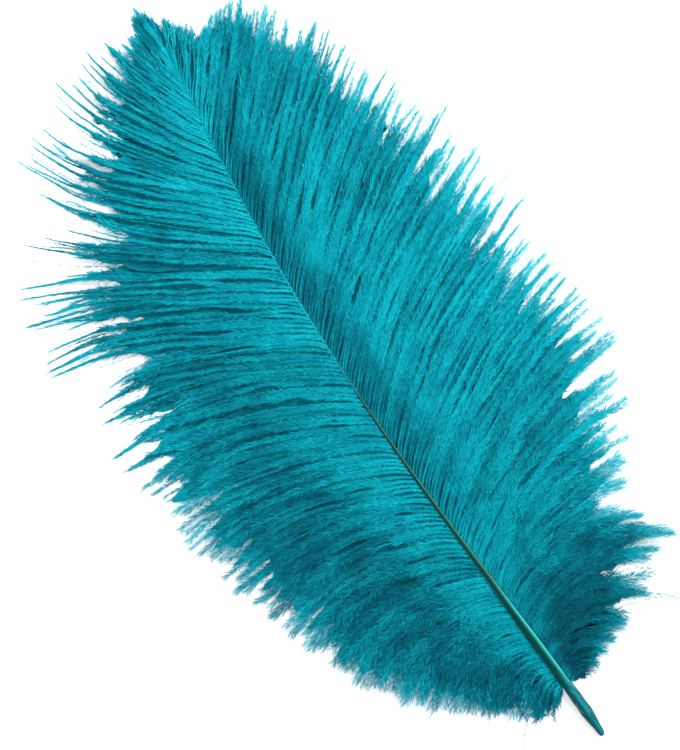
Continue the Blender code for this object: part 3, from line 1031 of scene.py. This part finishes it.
def dyed_barbs():
    """Teal dye that runs from deep to pale with the shade of each point, which also holds painted shade and
    painted light, over fine soft flecks.
    """
    made, nodes, links, shader = new_material("dyed_barbs")
    shade = nodes.new("ShaderNodeAttribute")
    shade.attribute_name = "shade"
    place = nodes.new("ShaderNodeTexCoord")
    flecks = nodes.new("ShaderNodeTexNoise")
    set_inputs(flecks, {"Scale": 160, "Detail": 4})
    links.new(place.outputs["Object"], flecks.inputs["Vector"])
    sway = nodes.new("ShaderNodeMapRange")
    set_inputs(sway, {"From Min": 0.3, "From Max": 0.7, "To Min": -0.07, "To Max": 0.07})
    links.new(flecks.outputs["Fac"], sway.inputs["Value"])
    depth = nodes.new("ShaderNodeMath")
    depth.operation = "ADD"
    links.new(sway.outputs["Result"], depth.inputs[0])
    links.new(shade.outputs["Fac"], depth.inputs[1])
    colours = ramp(nodes, (
        (0.0, (0.0, 0.05, 0.085)),
        (0.3, (0.0004, 0.18, 0.245)),
        (0.55, (0.001, 0.39, 0.485)),
        (0.8, (0.003, 0.56, 0.65)),
        (1.0, (0.02, 0.72, 0.78)),
    ))
    links.new(depth.outputs[0], colours.inputs["Fac"])
    links.new(colours.outputs["Color"], shader.inputs["Base Color"])
    set_inputs(shader, {"Roughness": 0.6, "Specular IOR Level": 0.05})
    return made


def creases(shares, turns):
    """How far the quill's skin sinks, as a share of its radius, by share and angle: a shallow groove up
    its left, and two creases that wander round its dried, swollen end."""
    def valley(middle, half_width):
        apart = (turns[None, :] - middle[:, None] + np.pi) % (2 * np.pi) - np.pi
        return np.exp(-((apart / half_width) ** 2))
    groove = GROOVE_DEPTH * window(GROOVE_RISE, GROOVE_FALL, shares)
    dried = window(DRIED_RISE, DRIED_FALL, shares)
    sunk = groove[:, None] * valley(np.full_like(shares, GROOVE_ANGLE), GROOVE_HALF_WIDTH)
    for depth, angle, sway, rate, begin, half_width in CREASES:
        middle = angle + sway * np.sin(rate * shares + begin)
        sunk = sunk + depth * dried[:, None] * valley(middle, half_width)
    return sunk


def make_quill():
    """The quill: a round tube that swells above its knobbed end and tapers to the tip, creased."""
    shares = np.linspace(0, 1, QUILL_RINGS) ** QUILL_RING_CROWDING
    centres = quill_point(shares)
    turns = np.arange(QUILL_SIDES) * 2 * np.pi / QUILL_SIDES
    radii = columns(QUILL_PROFILE, shares)[0][:, None] * MM * (1 - creases(shares, turns))
    across = to_the_right(quill_heading(shares))
    ring = across[:, None] * np.cos(turns)[:, None] + UP * np.sin(turns)[:, None]
    rings = centres[:, None] + ring * radii[..., None]
    rings[..., 2] = np.maximum(rings[..., 2], LEAST_QUILL_HEIGHT)
    points, faces, ring_of, side_of = skin(rings[None])
    uvs = np.stack([shares[ring_of], side_of / QUILL_SIDES], axis=-1)
    return solid_mesh("quill", points, faces, uvs, np.zeros(len(points)))


def dyed_quill():
    """Dyed horn, half gloss, with painted light. Its UV map gives the share of its length and the turn round
    it:
    a dark left, painted shade about its groove, a bright line on its right, a painted highlight, a golden
    edge further up, and barb colour near its tip."""
    made, nodes, links, shader = new_material("dyed_quill")
    place = nodes.new("ShaderNodeUVMap")
    place.uv_map = "OFBake"
    parts = nodes.new("ShaderNodeSeparateXYZ")
    links.new(place.outputs["UV"], parts.inputs[0])
    dark, teal, deep = (0.0, 0.035, 0.032), (0.001, 0.11, 0.135), (0.0005, 0.055, 0.07)
    # At the swollen end, the lighter streak right of the top is a painted highlight.
    end = ramp(nodes, (
        (0.0, deep),
        (0.16, teal),
        (0.22, (0.002, 0.19, 0.22)),
        (0.30, deep),
        (1.0, deep),
    ))
    # Lower down, the bright line right of the top is a painted highlight, and the dark over the left painted
    # shade.
    lower = ramp(nodes, (
        (0.0, deep),
        (0.08, (0.001, 0.17, 0.19)),
        (0.13, (0.06, 0.54, 0.45)),
        (0.17, (0.004, 0.18, 0.16)),
        (0.26, dark),
        (0.44, dark),
        (0.5, (0.004, 0.26, 0.29)),
        (1.0, deep),
    ))
    # Further up, the dark over the left is painted shade.
    upper = ramp(nodes, (
        (0.0, teal),
        (0.04, (0.02, 0.20, 0.12)),
        (0.10, (0.08, 0.22, 0.08)),
        (0.17, dark),
        (0.38, dark),
        (0.45, (0.004, 0.28, 0.30)),
        (1.0, deep),
    ))
    for each in (end, lower, upper):
        links.new(parts.outputs["Y"], each.inputs["Fac"])
    colour = end.outputs["Color"]
    barb_teal = nodes.new("ShaderNodeRGB")
    barb_teal.outputs[0].default_value = (0.001, 0.33, 0.41, 1)
    steps = (
        (lower.outputs["Color"], 0.06, 0.10),
        (upper.outputs["Color"], 0.19, 0.24),
        (barb_teal.outputs[0], 0.50, 0.62),
    )
    for later, low, high in steps:
        blend = nodes.new("ShaderNodeMapRange")
        set_inputs(blend, {"From Min": low, "From Max": high})
        links.new(parts.outputs["X"], blend.inputs["Value"])
        mix = nodes.new("ShaderNodeMix")
        mix.data_type = "RGBA"
        links.new(blend.outputs["Result"], mix.inputs["Factor"])
        links.new(colour, mix.inputs["A"])
        links.new(later, mix.inputs["B"])
        colour = mix.outputs["Result"]
    links.new(colour, shader.inputs["Base Color"])
    set_inputs(shader, {"Roughness": 0.38, "Specular IOR Level": 0.25, "Specular Tint": (0.3, 0.95, 1.0, 1)})
    return made


def make_floor():
    """A wide pale floor, flat in the middle."""
    half = 3.0
    mesh = bpy.data.meshes.new("floor")
    corners = [(-half, -half, 0), (half, -half, 0), (half, half, 0), (-half, half, 0)]
    mesh.from_pydata(corners, [], [(0, 1, 2, 3)])
    made = in_scene("floor", mesh)
    paint, _, _, shader = new_material("pale_floor")
    set_inputs(shader, {
        "Base Color": (0.92, 0.92, 0.92, 1),
        "Roughness": 0.9,
        "Specular IOR Level": 0.1,
        "Emission Color": (1, 1, 1, 1),
        "Emission Strength": 0.27,
    })
    made.data.materials.append(paint)
    return made


def make_light(name, place, power, size):
    """A square soft light at a place, facing the feather."""
    data = bpy.data.lights.new(name, "AREA")
    data.energy = power
    data.size = size
    made = in_scene(name, data)
    made.location = place
    made.rotation_euler = (-Vector(place)).to_track_quat("-Z", "Y").to_euler()
    return made


# The photograph's frame: 262.5 mm high, turned so that the quill runs up to the left. Then its lights: a
# soft key from the upper right, by its place in metres, its power in watts and its size, and a white sky.
CAMERA_HEIGHT = 1.1
CAMERA_ROLL = np.radians(-32.53)
FRAME_HEIGHT = 262.5 * MM
FRAME_MIDDLE = (-3.59 * MM, 5.18 * MM)
SENSOR = 36.0
KEY_PLACE, KEY_POWER, KEY_SIZE = (0.9, 0.2, 0.9), 18, 0.6
SKY_STRENGTH = 0.9


def make_camera():
    """A camera that looks straight down on the feather."""
    data = bpy.data.cameras.new("camera")
    data.sensor_fit = "VERTICAL"
    data.sensor_height = SENSOR
    data.lens = SENSOR * CAMERA_HEIGHT / FRAME_HEIGHT
    made = in_scene("camera", data)
    made.location = (*FRAME_MIDDLE, CAMERA_HEIGHT)
    made.rotation_euler = (0, 0, CAMERA_ROLL)
    bpy.context.scene.camera = made


def light_scene():
    """White light from all round and a soft key from the photograph's upper right."""
    world = bpy.data.worlds.new("studio")
    bpy.context.scene.world = world
    world.use_nodes = True
    set_inputs(world.node_tree.nodes["Background"], {"Color": (1, 1, 1, 1), "Strength": SKY_STRENGTH})
    make_light("key", KEY_PLACE, KEY_POWER, KEY_SIZE)
    bpy.context.scene.view_settings.view_transform = "Standard"


def main():
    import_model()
    make_camera()
    light_scene()
    make_floor()
    barbs = dyed_barbs()
    for side in VANES:
        for piece in make_vane(side):
            piece.data.materials.append(barbs)
            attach(piece, "root")
            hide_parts("feather")
    quill = make_quill()
    quill.data.materials.append(dyed_quill())
    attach(quill, "root")
    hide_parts("feather")


main()
